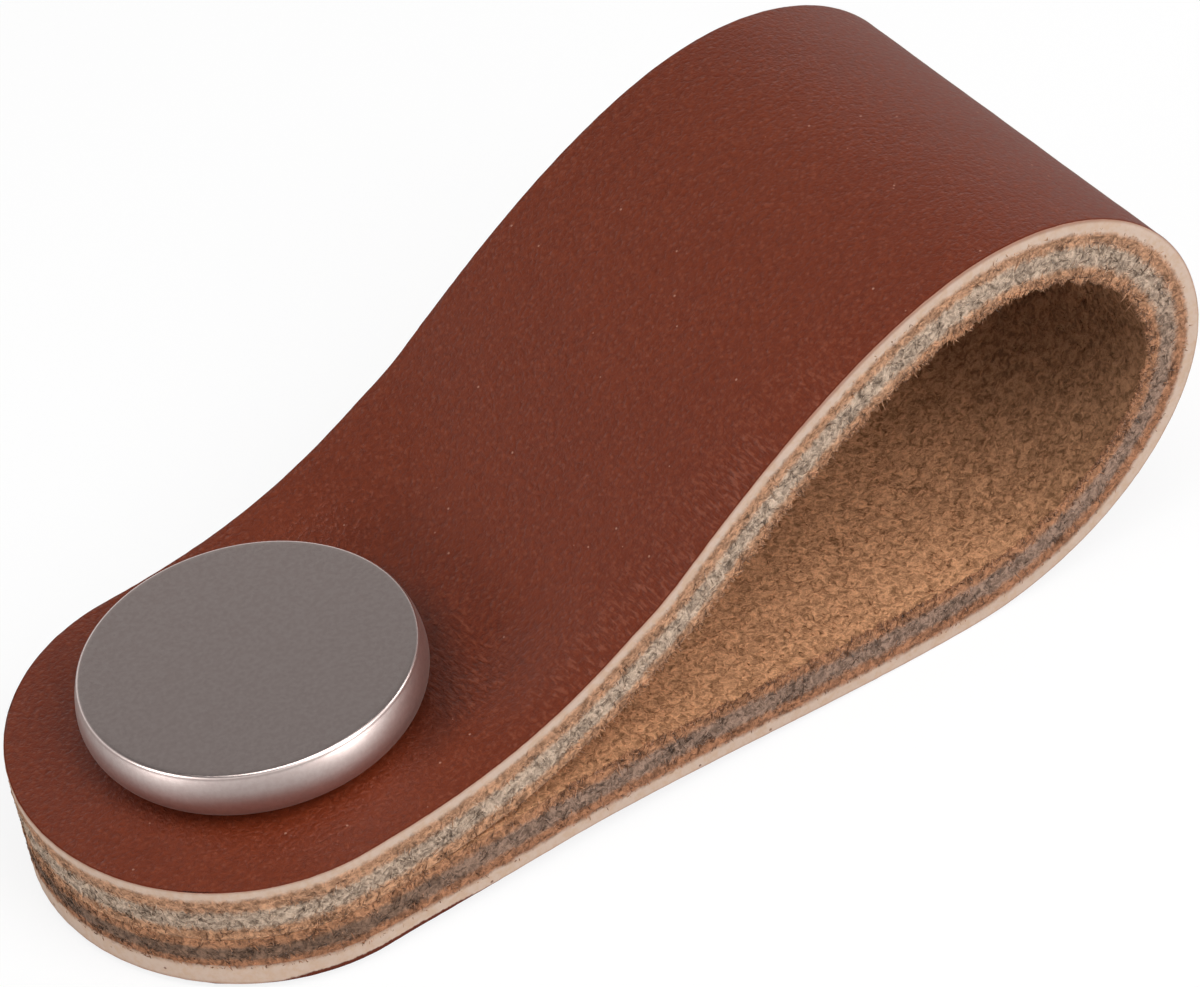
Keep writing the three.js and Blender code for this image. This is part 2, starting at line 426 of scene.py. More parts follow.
def cut_post_hole(piece, wall_slot):
    """Cuts the hole for the post through both legs."""
    radius = POST_RADIUS + POST_CLEARANCE
    ends = (-1, STACK_HEIGHT + 1)
    heights = np.repeat(np.array(ends, float)[:, None], HOLE_SEGMENTS, axis=1)
    cutter = turned_mesh("hole_cutter", np.full(heights.shape, radius), heights, ends)
    cut = piece.modifiers.new("post_hole", "BOOLEAN")
    cut.operation = "DIFFERENCE"
    cut.object = cutter
    cut.solver = "EXACT"
    graph = bpy.context.evaluated_depsgraph_get()
    mesh = bpy.data.meshes.new_from_object(piece.evaluated_get(graph))
    piece.modifiers.clear()
    piece.data = mesh
    bpy.data.objects.remove(cutter)
    for face in mesh.polygons:
        x, y, z = face.center / MM
        on_hole = abs(math.hypot(x, y) - radius) < 0.02 and z < STACK_HEIGHT + 0.5
        if on_hole and abs(face.normal.z) < 0.5:
            face.material_index = wall_slot
            face.use_smooth = False
    mesh.name = piece.name


def lip_share(along):
    """1 along the fuller lip of the back leg's end, 0 elsewhere."""
    return smoothstep(*LIP_START, along) * smoothstep(*LIP_END, along)


def leather_thickness(along):
    return OUTER_THICKNESS + THICK_END_GAIN * smoothstep(THICK_END_START, THICK_END_FULL, along)


def lining_depth(along, strap):
    """Depth of the lining's napped face under the smooth face."""
    crest = smoothstep(*CREST_LINING_RISE, along) * smoothstep(*CREST_LINING_FALL, along)
    clamped = 1 - lining_free(along, strap)
    curled = smoothstep(END_REACH + END_CURL_START, END_REACH + END_CURL_FULL, along)
    return PLY + CREST_LINING_GAIN * crest + SHOWN_LEG_CLOSING * clamped - END_CURL * curled


def layer_places(strap, outer, inner, wall_count):
    """Values along and across the strap for the points of a closed layer."""
    rim, _, along = strap.at_rim()
    on_faces = [outer[..., 1].ravel(), inner[..., 1].ravel()]
    return {
        "along": np.concatenate([strap.along.ravel(), strap.along.ravel(), np.tile(along, wall_count)]),
        "across": np.concatenate([*on_faces, np.tile(rim[:, 1], wall_count)]),
    }


def make_outer_leather(strap, materials):
    """The grain face, its rounded edges and its pale cut edge."""
    rim, inward, along = strap.at_rim()
    lip = lip_share(along)
    radius = GRAIN_EDGE_RADIUS + (LIP_EDGE_RADIUS - GRAIN_EDGE_RADIUS) * lip
    thickness = leather_thickness(along)

    outer = strap.points.copy()
    flat = outer.reshape(-1, 3)
    swell = layered_noise(flat, SEED, GRAIN_SWELL)
    outer -= strap.inward * swell.reshape(strap.rows, strap.columns, 1)
    outer[strap.rim] = rim - strap.outward * radius[:, None]
    inner = strap.points + strap.inward * leather_thickness(strap.along)[..., None]

    depths = [radius * share for share in ROUND_ROWS]
    depths += [radius + (thickness - radius) * share for share in CUT_ROWS]
    walls = []
    for depth in depths:
        round_in = radius - np.sqrt(np.clip(radius**2 - np.clip(radius - depth, 0, None) ** 2, 0, None))
        place = rim + inward * depth[:, None]
        rough = layered_noise(place, SEED + 2, CUT_ROUGHNESS)
        walls.append(place + strap.outward * (rough - round_in)[:, None])

    grid = strap.rows * strap.columns
    dyed_depth = DYED_DEPTH + LIP_DYED_GAIN * lip
    dyes = [1 - smoothstep(0.6, 1.3, depth / dyed_depth) for depth in depths]
    shares = [depth / thickness for depth in depths]
    values = layer_places(strap, outer, inner, len(depths))
    values["share"] = np.concatenate([np.zeros(grid), np.ones(grid), *shares])
    values["dye"] = np.concatenate([np.ones(grid), np.zeros(grid), *dyes])
    piece = closed_layer("leather_strap", strap, outer, inner, walls, values, materials)
    cut_post_hole(piece, 1)
    return piece


def lining_free(along, strap):
    """0 where the two legs are clamped together, 1 where the lining is free."""
    from_end = np.minimum(along, strap.length - along)
    return smoothstep(END_REACH + CLAMPED_REACH, END_REACH + FREE_REACH, from_end)


def make_lining(strap, materials):
    """The suede split with its napped faces and fibrous cut edge."""
    rim, inward, along = strap.at_rim()
    near = leather_thickness(along) + SHOWN_GLUE_LINE
    far = lining_depth(along, strap)
    free = lining_free(along, strap)

    outer = strap.points + strap.inward * (leather_thickness(strap.along) + SHOWN_GLUE_LINE)[..., None]
    inner = strap.points + strap.inward * lining_depth(strap.along, strap)[..., None]
    flat = inner.reshape(-1, 3)
    rough = layered_noise(flat, SEED + 4, NAP_ROUGHNESS) + NAP_RAISED
    rough *= 0.05 + 0.95 * lining_free(strap.along, strap).ravel()
    inner -= strap.inward * rough.reshape(strap.rows, strap.columns, 1)

    walls = []
    for share in LINING_ROWS:
        place = rim + inward * (near + (far - near) * share)[:, None]
        bulk = layered_noise(place, SEED + 6, CORE_BULK)
        round_in = 0.1 * smoothstep(0.8, 1.0, share) * free + 0.04 * smoothstep(0, 0.15, share)
        walls.append(place + strap.outward * (bulk - round_in)[:, None])
    ragged = layered_noise(rim, SEED + 8, RAGGED_CORNER)
    corner = 0.04 * noise(rim, 0.4, SEED + 10) - 0.04 - 0.1 * free
    deepened = inward * (far + (ragged - 0.04) * free)[:, None]
    inner[strap.rim] = rim + deepened + strap.outward * corner[:, None]

    grid = strap.rows * strap.columns
    values = layer_places(strap, outer, inner, len(walls))
    values["share"] = np.concatenate([np.zeros(grid), np.ones(grid), np.repeat(LINING_ROWS, len(rim))])
    values["strand"] = np.full(2 * grid + len(walls) * len(rim), 0.5)
    piece = closed_layer("suede_lining_face", strap, outer, inner, walls, values, materials)
    cut_post_hole(piece, 1)
    return piece


def strands(name, roots, directions, bends, lengths, widths, places, materials):
    """Fibres as closed, tapered tubes of three sides that bend once.

    The places are the values along, across, share and strand of each fibre.
    """
    count = len(roots)
    axis = unit(directions)
    helper = np.where(abs(axis[:, 2:]) < 0.9, [[0, 0, 1]], [[1, 0, 0]])
    side = unit(np.cross(axis, helper))
    other = np.cross(axis, side)
    middle = roots + axis * (lengths * 0.5)[:, None]
    tip = roots + axis * (lengths * 0.92)[:, None] + bends * lengths[:, None]
    corner = np.arange(3) * 2 * math.pi / 3
    ring = side[:, None] * np.cos(corner)[:, None] + other[:, None] * np.sin(corner)[:, None]
    base_ring = roots[:, None] + ring * (widths / 2)[:, None, None]
    middle = middle + bends * (lengths * 0.25)[:, None]
    middle_ring = middle[:, None] + ring * (widths * 0.38)[:, None, None]
    points = np.concatenate([base_ring, middle_ring, tip[:, None]], axis=1).reshape(-1, 3)
    quads = []
    triangles = [[2, 1, 0]]
    for k in range(3):
        after = (k + 1) % 3
        quads.append([k, after, 3 + after, 3 + k])
        triangles.append([3 + k, 3 + after, 6])
    first = (np.arange(count) * FIBRE_POINTS)[:, None, None]
    quads = (np.array(quads)[None] + first).reshape(-1, 4)
    triangles = (np.array(triangles)[None] + first).reshape(-1, 3)
    values = {}
    for key, value in zip(("along", "across", "share", "strand"), places):
        values[key] = np.repeat(np.broadcast_to(value, count), FIBRE_POINTS)
    return mesh_object(name, points, quads, triangles, values, materials)


def rim_sample(strap, place):
    """Points, directions and distances at fractional places round the strap's edge."""
    low = np.floor(place).astype(int) % len(strap.loop)
    high = (low + 1) % len(strap.loop)
    part = (place - np.floor(place))[:, None]

    def mixed(grid):
        rim = grid[strap.rim]
        return rim[low] * (1 - part) + rim[high] * part

    outward = unit(strap.outward[low] * (1 - part) + strap.outward[high] * part)
    return mixed(strap.points), unit(mixed(strap.inward)), outward, mixed(strap.along[..., None])[:, 0]


def make_edge_fibres(strap, materials):
    """Cut fibres that lie over the lining's edge, and a little over the leather's flesh side."""
    count = EDGE_FIBRES
    random = np.random.default_rng(SEED)
    place = random.uniform(0, len(strap.loop), count)
    rim, inward, outward, along = rim_sample(strap, place)
    share = random.uniform(-0.14, 1.0, count)
    near = leather_thickness(along)
    depth = near + (lining_depth(along, strap) - near) * share
    tangent = np.cross(inward, outward)
    turn = random.uniform(0, 2 * math.pi, count)
    rise = np.radians(random.uniform(0, 10, count))
    border = smoothstep(0.22, 0.1, share) + smoothstep(0.68, 0.8, share)
    along_pull = 1.3 - 0.8 * border
    flat = tangent * (along_pull * np.cos(turn))[:, None] + inward * np.sin(turn)[:, None]
    direction = unit(flat) * np.cos(rise)[:, None] + outward * np.sin(rise)[:, None]
    bend = flat * random.normal(0, 0.25, count)[:, None] - outward * random.uniform(0, 0.12, count)[:, None]
    on_leather = share < 0.02
    sunk = np.where(on_leather, 0.02, random.uniform(0.02, 0.09, count))
    roots = rim + inward * depth[:, None] - outward * sunk[:, None]
    lengths = random.uniform(*EDGE_LENGTHS, count) * np.where(on_leather, 0.5, 1)
    widths = random.uniform(*EDGE_WIDTHS, count)
    places = (along, rim[:, 1], share, random.uniform(0, 1, count))
    return strands("suede_edge_fibres", roots, direction, bend, lengths, widths, places, materials)


def make_fringe(strap, materials):
    """Tufts of fibre along the lining's inner corner, each gathered to a point."""
    random = np.random.default_rng(SEED + 1)
    tufts = random.uniform(0, len(strap.loop), FRINGE_TUFTS)
    reach_in = random.uniform(0.06, 0.24, FRINGE_TUFTS)
    reach_in *= 0.7 + 0.9 * random.uniform(0, 1, FRINGE_TUFTS) ** 3
    lean = random.normal(0, 0.35, FRINGE_TUFTS)
    rise = random.uniform(-0.3, 0.7, FRINGE_TUFTS)
    each = np.repeat(np.arange(FRINGE_TUFTS), FIBRES_IN_TUFT)
    centre, inward, outward, along = rim_sample(strap, tufts[each])
    keep = lining_free(along, strap) > random.uniform(0, 1, len(each))
    each, centre, inward, outward, along = (a[keep] for a in (each, centre, inward, outward, along))
    count = len(each)
    tangent = np.cross(inward, outward)
    spread = random.normal(0, 0.13, count)[:, None]
    sunk = random.uniform(0.03, 0.22, count)[:, None]
    far = lining_depth(along, strap)[:, None]
    roots = centre + inward * (far - 0.16) + tangent * spread - outward * sunk
    tips = (centre + inward * (far + reach_in[each, None]) + tangent * lean[each, None] * 0.3
            + outward * rise[each, None] * 0.15 - outward * 0.1 + random.normal(0, 0.035, (count, 3)))
    lengths = np.linalg.norm(tips - roots, axis=1)
    bend = random.normal(0, 0.1, (count, 3))
    widths = random.uniform(*FRINGE_WIDTHS, count)
    places = (along, centre[:, 1], 1.0, random.uniform(0.35, 1, count))
    return strands("suede_edge_fringe", roots, tips - roots, bend, lengths, widths, places, materials)


def make_nap(strap, materials):
    """Loose nap inside the loop, combed into swirls."""
    count = NAP_FIBRES
    random = np.random.default_rng(SEED + 2)
    row = random.uniform(0, strap.rows - 1.001, count)
    column = random.uniform(0, strap.columns - 1.001, count)
    i, j = row.astype(int), column.astype(int)
    a, b = (row - i)[:, None], (column - j)[:, None]

    def mixed(grid):
        near = grid[i, j] * (1 - b) + grid[i, j + 1] * b
        far = grid[i + 1, j] * (1 - b) + grid[i + 1, j + 1] * b
        return near * (1 - a) + far * a

    along = mixed(strap.along[..., None])[:, 0]
    keep = lining_free(along, strap) > 0.6
    points, inward = mixed(strap.points), unit(mixed(strap.inward))
    points, inward, along = points[keep], inward[keep], along[keep]
    count = len(points)
    tangent = unit(np.cross(inward, [[0, 1, 0]]))
    width = np.cross(tangent, inward)
    swirl = 2.6 * noise(points, 1.6, SEED + 12) + random.normal(0, 0.6, count)
    flat = tangent * np.cos(swirl)[:, None] + width * np.sin(swirl)[:, None]
    rise = np.radians(random.uniform(4, 34, count))
    direction = flat * np.cos(rise)[:, None] + inward * np.sin(rise)[:, None]
    bend = unit(random.normal(size=(count, 3))) * 0.3
    roots = points + inward * (lining_depth(along, strap) - 0.1)[:, None]
    lengths = random.uniform(*NAP_LENGTHS, count)
    widths = random.uniform(*NAP_WIDTHS, count)
    places = (along, points[:, 1], 1.0, random.uniform(0, 1, count))
    return strands("suede_nap", roots, direction, bend, lengths, widths, places, materials)


def cap_profile():
    """Radius and height from the thread's end round to the top's middle, and which rows the thread has."""
    half_tip = math.radians(DRILL_TIP_DEGREES / 2)
    tip = CAP_TOP - CAP_ROOF
    shoulder = tip - THREAD_CREST_RADIUS / math.tan(half_tip)
    thread_low = POST_RECESS + THREAD_CHAMFER
    thread_rows = round((shoulder - thread_low) / THREAD_PITCH * THREAD_ROWS_PER_PITCH)
    widest = CAP_TOP_RADIUS + CAP_BULGE
    widest_height = STACK_HEIGHT + CAP_BULGE_HEIGHT
    edge_height = CAP_TOP - SHOWN_CAP_EDGE_ROUND

    profile = [(THREAD_CREST_RADIUS * share, tip - (tip - shoulder) * share) for share in (0.05, 0.5, 0.97)]
    first_thread = len(profile)
    profile += [(THREAD_CREST_RADIUS, z) for z in np.linspace(shoulder, thread_low, thread_rows)]
    last_thread = len(profile)
    profile += [
        (THREAD_ROOT_RADIUS + 0.02, POST_RECESS + 0.02),
        (THREAD_ROOT_RADIUS + 0.06, POST_RECESS),
        (POST_RADIUS - 0.3, POST_RECESS),
        (POST_RADIUS - 0.25, POST_RECESS + 0.01),
        (POST_RADIUS - 0.02, POST_RECESS + 0.24),
        (POST_RADIUS, POST_RECESS + 0.3),
        (POST_RADIUS, STACK_HEIGHT - 0.2),
        (POST_RADIUS + 0.1, STACK_HEIGHT),
        (POST_RADIUS + 0.3, STACK_HEIGHT),
        (CAP_SEAT_RADIUS - 0.4, STACK_HEIGHT),
    ]
    for turn in np.radians(np.linspace(-90, 0, 26)):
        profile.append((CAP_SEAT_RADIUS + (widest - CAP_SEAT_RADIUS) * math.cos(turn),
                        widest_height + CAP_BULGE_HEIGHT * math.sin(turn)))
    middle_height = (widest_height + edge_height) / 2
    for t in np.linspace(0, 1, 17)[1:]:
        profile.append(((1 - t) ** 2 * widest + 2 * t * (1 - t) * widest + t**2 * CAP_TOP_RADIUS,
                        (1 - t) ** 2 * widest_height + 2 * t * (1 - t) * middle_height + t**2 * edge_height))
    for turn in np.radians((12, 24, 36, 48, 60, 72, 82, 90)):
        profile.append((CAP_TOP_RADIUS - SHOWN_CAP_EDGE_ROUND * (1 - math.cos(turn)),
                        edge_height + SHOWN_CAP_EDGE_ROUND * math.sin(turn)))
    profile += [(r, CAP_TOP) for r in (8.6, 8.2, 6.5, 4, 2, 0.4)]
    return np.array(profile), first_thread, last_thread


def make_cap(material):
    """The turned cap and post in one piece, with the thread cut in the post."""
    profile, first_thread, last_thread = cap_profile()
    turn = np.linspace(0, 2 * math.pi, CAP_SEGMENTS, endpoint=False)
    radius = np.repeat(profile[:, :1], CAP_SEGMENTS, axis=1)
    height = np.repeat(profile[:, 1:], CAP_SEGMENTS, axis=1)
    thread = np.arange(first_thread, last_thread)
    phase = (height[thread] / THREAD_PITCH - turn[None] / (2 * math.pi)) % 1
    tooth = np.clip(1.25 * (1 - abs(2 * phase - 1)) - 0.125, 0, 1)
    from_tip = np.arange(len(thread))[:, None]
    fade = smoothstep(0, THREAD_FADE_TIP, from_tip)
    fade = np.minimum(fade, smoothstep(0, THREAD_FADE_MOUTH, from_tip[::-1]))
    radius[thread] += tooth * THREAD_DEPTH * fade
    mouth = smoothstep(THREAD_CHAMFER, 0, height[thread] - POST_RECESS - THREAD_CHAMFER)
    radius[thread] = np.maximum(radius[thread], THREAD_CREST_RADIUS + mouth * THREAD_DEPTH)
    return turned_mesh("turned_cap", radius, height, (CAP_TOP - CAP_ROOF, CAP_TOP), [material])


def new_material(name):
    material = bpy.data.materials.new(name)
    material.use_nodes = True
    material.node_tree.nodes.clear()
    return material, material.node_tree


def node(tree, kind, inputs=None, **settings):
    """A shader node with its settings made and its inputs linked or set."""
    made = tree.nodes.new("ShaderNode" + kind)
    for key, value in settings.items():
        setattr(made, key, value)
    for key, value in (inputs or {}).items():
        if isinstance(value, bpy.types.NodeSocket):
            tree.links.new(value, made.inputs[key])
        else:
            made.inputs[key].default_value = value
    return made


def maths(tree, operation, first, second=0.0, third=0.0, clamp=False):
    made = node(tree, "Math", {0: first, 1: second, 2: third}, operation=operation, use_clamp=clamp)
    return made.outputs[0]


def product(tree, first, second):
    return maths(tree, "MULTIPLY", first, second)


def remap(tree, value, low, high, to_low=0.0, to_high=1.0):
    """Takes value from low..high to to_low..to_high, smoothly and clamped."""
    inputs = {"Value": value, "From Min": low, "From Max": high, "To Min": to_low, "To Max": to_high}
    return node(tree, "MapRange", inputs, interpolation_type="SMOOTHSTEP").outputs[0]


def between(tree, value, start, full, still_full, end):
    """1 where the value is between the two middle limits, and smoothly 0 outside the outer two."""
    return product(tree, remap(tree, value, start, full), remap(tree, value, end, still_full))


def mix_colours(tree, share, first, second, blend="MIX"):
    inputs = {0: share, 6: first, 7: second}
    return node(tree, "Mix", inputs, data_type="RGBA", blend_type=blend).outputs[2]


def stained(tree, base, share, most, stain):
    """The base colour, mixed with a stain by a share from 0 to 1 of the most that it may take."""
    return mix_colours(tree, product(tree, share, most), base, stain)


def ramp(tree, value, stops):
    """A colour ramp of (place, colour) stops."""
    made = node(tree, "ValToRGB", {"Fac": value})
    elements = made.color_ramp.elements
    elements[0].position, elements[0].color = stops[0]
    elements[1].position, elements[1].color = stops[-1]
    for place, colour in stops[1:-1]:
        elements.new(place).color = colour
    return made.outputs["Color"]


def noise_at(tree, vector, scale, detail=2.0, roughness=0.5, distortion=0.0):
    inputs = {"Vector": vector, "Scale": scale, "Detail": detail, "Roughness": roughness,
              "Distortion": distortion}
    return node(tree, "TexNoise", inputs).outputs["Fac"]


def wander_at(tree, vector, scale, detail, roughness, spread):
    """Noise about 0 with the given spread."""
    return maths(tree, "MULTIPLY_ADD", noise_at(tree, vector, scale, detail, roughness), spread, -spread / 2)


def cells_at(tree, vector, scale):
    return node(tree, "TexVoronoi", {"Vector": vector, "Scale": scale})


def surface_value(tree, name):
    return node(tree, "Attribute", attribute_name=name, attribute_type="GEOMETRY").outputs["Fac"]


def millimetres(tree):
    """The point on the piece, in millimetres."""
    place = node(tree, "TexCoord").outputs["Object"]
    return node(tree, "VectorMath", {0: place, 3: 1 / MM}, operation="SCALE").outputs[0]


def strap_place(tree, along_scale, across_scale):
    """The place on the strap's face laid flat, stretched by two factors."""
    along = product(tree, surface_value(tree, "along"), along_scale)
    across = product(tree, surface_value(tree, "across"), across_scale)
    return node(tree, "CombineXYZ", {"X": along, "Y": across, "Z": 0.0}).outputs[0]


def from_screw_axis(tree, place):
    """The place's X, Y and Z as outputs of one node, and its distance from the screw's axis."""
    split = node(tree, "SeparateXYZ", {0: place}).outputs
    flat = node(tree, "CombineXYZ", {"X": split["X"], "Y": split["Y"], "Z": 0.0}).outputs[0]
    return split, node(tree, "VectorMath", {0: flat}, operation="LENGTH").outputs["Value"]


def bump(tree, height, distance, strength=1.0):
    inputs = {"Height": height, "Distance": distance * MM, "Strength": strength}
    return node(tree, "Bump", inputs).outputs[0]


def finish_surface(tree, inputs):
    shader = node(tree, "BsdfPrincipled", inputs)
    node(tree, "OutputMaterial", {"Surface": shader.outputs[0]})


def colour(red, green, blue):
    """A colour given as it looks on a screen, 0 to 255, as the linear value that a shader takes."""
    linear = [((c / 255 + 0.055) / 1.055) ** 2.4 if c > 10 else c / 255 / 12.92 for c in (red, green, blue)]
    return (*linear, 1.0)


GRAIN_DARK = colour(97, 35, 11)
GRAIN_MIDDLE = colour(105, 39, 12)
GRAIN_LIGHT = colour(114, 45, 16)
# Colours of painted shade in creases and round the cap, and of painted highlights on pebbles and crease
# ridges
GRAIN_SHADE = colour(58, 22, 12)
GRAIN_HIGHLIGHT = colour(146, 82, 60)
DUST = colour(196, 150, 130)
PALE_EDGE = colour(207, 183, 166)
PALE_EDGE_DEEP = colour(202, 172, 149)
PALE_EDGE_WORN = colour(150, 98, 76)
PIN_DOT = colour(110, 66, 48)

# Middle tones of the suede, on the lighter upper leg and the darker back leg
NAP = colour(190, 141, 104)
CORE_UPPER = colour(177, 154, 135)
CORE_BACK = colour(141, 114, 98)
CORE_END = colour(118, 91, 74)
FUZZ_UPPER = colour(175, 131, 101)
FUZZ_BACK = colour(154, 106, 77)
BORDER_UPPER = colour(178, 132, 100)
BORDER_BACK = colour(162, 114, 83)
NAP_SHEEN = colour(225, 175, 130)

METAL = colour(209, 191, 186)
METAL_WORN = colour(216, 200, 195)

# Fibrous flecks on those middle tones: painted shade in the gaps between fibres and painted light on the
# fibres
NAP_GAP_SHADE = (0.42, 0.39, 0.35, 1)
NAP_LIT = (1.54, 1.57, 1.6, 1)
CORE_GAP_SHADE = (0.36, 0.33, 0.3, 1)
CORE_LIT = (1.62, 1.66, 1.67, 1)
# How dark the painted shade on the nap is at the bend's inside, where the loop shades it
NAP_BEND_SHADE = 0.53

# Where a look starts, is full, is still full and ends: millimetres along or across the strap, or depth
CREASED_BEND = (92.0, 104.0, 122.0, 134.0)
CREASED_BESIDE_CAP = (119.5, 123.0, 126.0, 129.0)
CREASED_ACROSS = (-10.0, -7.5, -1.0, 2.0)
DEEPER_STAIN = (78.0, 86.0, 100.0, 108.0)
PIN_DOT_DEPTH = (0.1, 0.25, 0.45, 0.65)
# Where the nap has painted shade at the bend's inside
SHADED_NAP_SPAN = (47.0, 66.0, 70.0, 102.0)
# Where the suede's tones change from the back leg's to the upper leg's
TONE_CHANGE = (64.0, 80.0)


def grain_leather():
    """Satin brown pebbled leather with a little dust, creased beside the cap and at the bend's near edge,
    with painted highlights on the pebbles' tops and the crease ridges, and painted shade in the creases and
    round the cap.
    """
    material, tree = new_material("grain_leather")
    place = millimetres(tree)
    along = surface_value(tree, "along")
    across = surface_value(tree, "across")
    cloud = noise_at(tree, place, 0.12, 2.0)
    mottle = noise_at(tree, place, 3.4, 3.0, 0.7)

    side = remap(tree, across, -7.0, -11.5)
    on_edge = product(tree, side, between(tree, along, *CREASED_BEND))
    patchy = remap(tree, noise_at(tree, place, 0.22, 2.0), 0.3, 0.6, 0.45, 1.0)
    near_half = between(tree, across, *CREASED_ACROSS)
    beside_cap = product(tree, between(tree, along, *CREASED_BESIDE_CAP), near_half)
    creased = product(tree, maths(tree, "MAXIMUM", on_edge, beside_cap), patchy)

    pebble = noise_at(tree, place, 3.4, 2.0, 0.6, 0.4)
    drawn = noise_at(tree, strap_place(tree, 4.6, 1.3), 1.0, 2.0, 0.5, 0.3)
    grain = node(tree, "Mix", {0: creased, 2: pebble, 3: drawn}, data_type="FLOAT").outputs[0]
    height = product(tree, grain, remap(tree, creased, 0.0, 1.0, 0.085, 0.14))
    fine = noise_at(tree, place, 8.5, 3.0, 0.65)
    height = maths(tree, "MULTIPLY_ADD", fine, 0.024, height)
    dome = remap(tree, cells_at(tree, place, 2.6).outputs["Distance"], 0.4, 0.12)
    height = maths(tree, "MULTIPLY_ADD", dome, 0.012, height)

    tone = maths(tree, "MULTIPLY_ADD", mottle, 0.6, product(tree, cloud, 0.15))
    tone = maths(tree, "MULTIPLY_ADD", grain, 0.25, tone)
    base = ramp(tree, tone, [(0.36, GRAIN_DARK), (0.5, GRAIN_MIDDLE), (0.64, GRAIN_LIGHT)])
    # Painted highlights on the pebbles' tops; the domes also raise the bump
    base = stained(tree, base, dome, 0.24, GRAIN_HIGHLIGHT)
    # Painted shade in the creases beside the cap
    crease_shade = product(tree, beside_cap, remap(tree, grain, 0.52, 0.34))
    base = stained(tree, base, crease_shade, 0.34, GRAIN_SHADE)
    # Painted highlights along the crease ridges
    ridge_highlight = product(tree, creased, remap(tree, grain, 0.52, 0.63))
    base = stained(tree, base, ridge_highlight, 0.46, GRAIN_HIGHLIGHT)

    split, radius = from_screw_axis(tree, place)
    # Painted shade on the upper leg's leather round the cap, where the cap shades it
    cap_shadow = product(tree, remap(tree, radius, 12.0, 9.6), remap(tree, split["X"], 1.0, 7.5))
    cap_shadow = product(tree, cap_shadow, remap(tree, along, 90.0, 100.0))
    base = stained(tree, base, cap_shadow, 0.7, GRAIN_SHADE)
    specks = cells_at(tree, place, 0.8)
    is_speck = maths(tree, "LESS_THAN", specks.outputs["Distance"], 0.055)
    picked = node(tree, "SeparateColor", {0: specks.outputs["Color"]}).outputs[0]
    shown_share = remap(tree, along, 106.0, 122.0, 0.6, 0.35)
    dusty = product(tree, is_speck, maths(tree, "GREATER_THAN", picked, shown_share))
    base = stained(tree, base, dusty, 0.5, DUST)

    normal = bump(tree, height, 1.0)
    roughness = remap(tree, mottle, 0.3, 0.7, 0.36, 0.5)
    finish_surface(tree, {"Base Color": base, "Roughness": roughness, "Normal": normal,
                          "Specular IOR Level": 0.34})
    return material


def by_leg(tree, back, upper):
    """A colour that goes from the back leg's tone to the upper leg's round the nose."""
    return mix_colours(tree, remap(tree, surface_value(tree, "along"), *TONE_CHANGE), back, upper)


def toned(tree, base, tone, gap, lit):
    """The base colour with fibrous flecks: painted shade in the gaps and painted light on the fibres, by a
    fibrous tone from 0 to 1.
    """
    factor = mix_colours(tree, remap(tree, tone, 0.3, 0.7), gap, lit)
    return mix_colours(tree, 1.0, base, factor, "MULTIPLY")


def fibrous_tone(tree, place, coarse_scale, fine_scale, strand_share):
    """A fibrous pattern about 0.5, shifted from fibre to fibre, and its height."""
    coarse = noise_at(tree, place, coarse_scale, 2.0, 0.6, 1.0)
    fine = noise_at(tree, place, fine_scale, 2.0, 0.6, 1.4)
    pattern = maths(tree, "MULTIPLY_ADD", fine, 0.35, product(tree, coarse, 0.65))
    strand = maths(tree, "SUBTRACT", surface_value(tree, "strand"), 0.5)
    return maths(tree, "MULTIPLY_ADD", strand, strand_share, pattern), pattern


def cut_leather():
    """The outer leather's pale cut edge, dyed where the grain side rounds over and fibrous at the lining."""
    material, tree = new_material("cut_leather")
    place = millimetres(tree)
    mottle = noise_at(tree, place, 2.2, 3.0, 0.6)
    base = mix_colours(tree, remap(tree, mottle, 0.35, 0.7), PALE_EDGE, PALE_EDGE_DEEP)
    share = surface_value(tree, "share")
    along = surface_value(tree, "along")

    deeper = product(tree, between(tree, along, *DEEPER_STAIN), 0.12)
    worn = remap(tree, maths(tree, "SUBTRACT", share, deeper), 0.2, -0.02, 0.0, 0.75)
    base = mix_colours(tree, worn, base, PALE_EDGE_WORN)

    dots = cells_at(tree, place, 0.95)
    is_dot = maths(tree, "LESS_THAN", dots.outputs["Distance"], 0.085)
    low_leg = remap(tree, along, 52.0, 34.0)
    near_grain = between(tree, share, *PIN_DOT_DEPTH)
    dotted = product(tree, is_dot, product(tree, low_leg, near_grain))
    base = stained(tree, base, dotted, 0.8, PIN_DOT)

    tone, height = fibrous_tone(tree, place, 2.0, 4.4, 0.0)
    wander = wander_at(tree, place, 1.9, 3.0, 0.7, 0.44)
    narrowed = remap(tree, along, 96.0, 112.0, 0.0, 0.2)
    widened = remap(tree, along, 22.0, 12.0, 0.0, -0.14)
    shifted = maths(tree, "ADD", share, maths(tree, "ADD", narrowed, widened))
    flesh = remap(tree, maths(tree, "ADD", shifted, wander), 0.62, 0.98)
    # The fibrous flesh side, with painted shade in the gaps between fibres and painted light on them
    fuzz = toned(tree, by_leg(tree, FUZZ_BACK, FUZZ_UPPER), tone, NAP_GAP_SHADE, NAP_LIT)
    base = mix_colours(tree, flesh, base, fuzz)
    dye = maths(tree, "ADD", surface_value(tree, "dye"), wander_at(tree, place, 4.0, 2.0, 0.5, 0.6))
    base = mix_colours(tree, remap(tree, dye, 0.35, 0.65), base, GRAIN_DARK)
    rough = product(tree, noise_at(tree, place, 6.0, 4.0, 0.65), 0.02)
    rough = maths(tree, "MULTIPLY_ADD", product(tree, height, flesh), 0.12, rough)
    normal = bump(tree, rough, 1.0, 0.8)
    finish_surface(tree, {"Base Color": base, "Roughness": 0.75, "Normal": normal, "Specular IOR Level": 0.2})
    return material


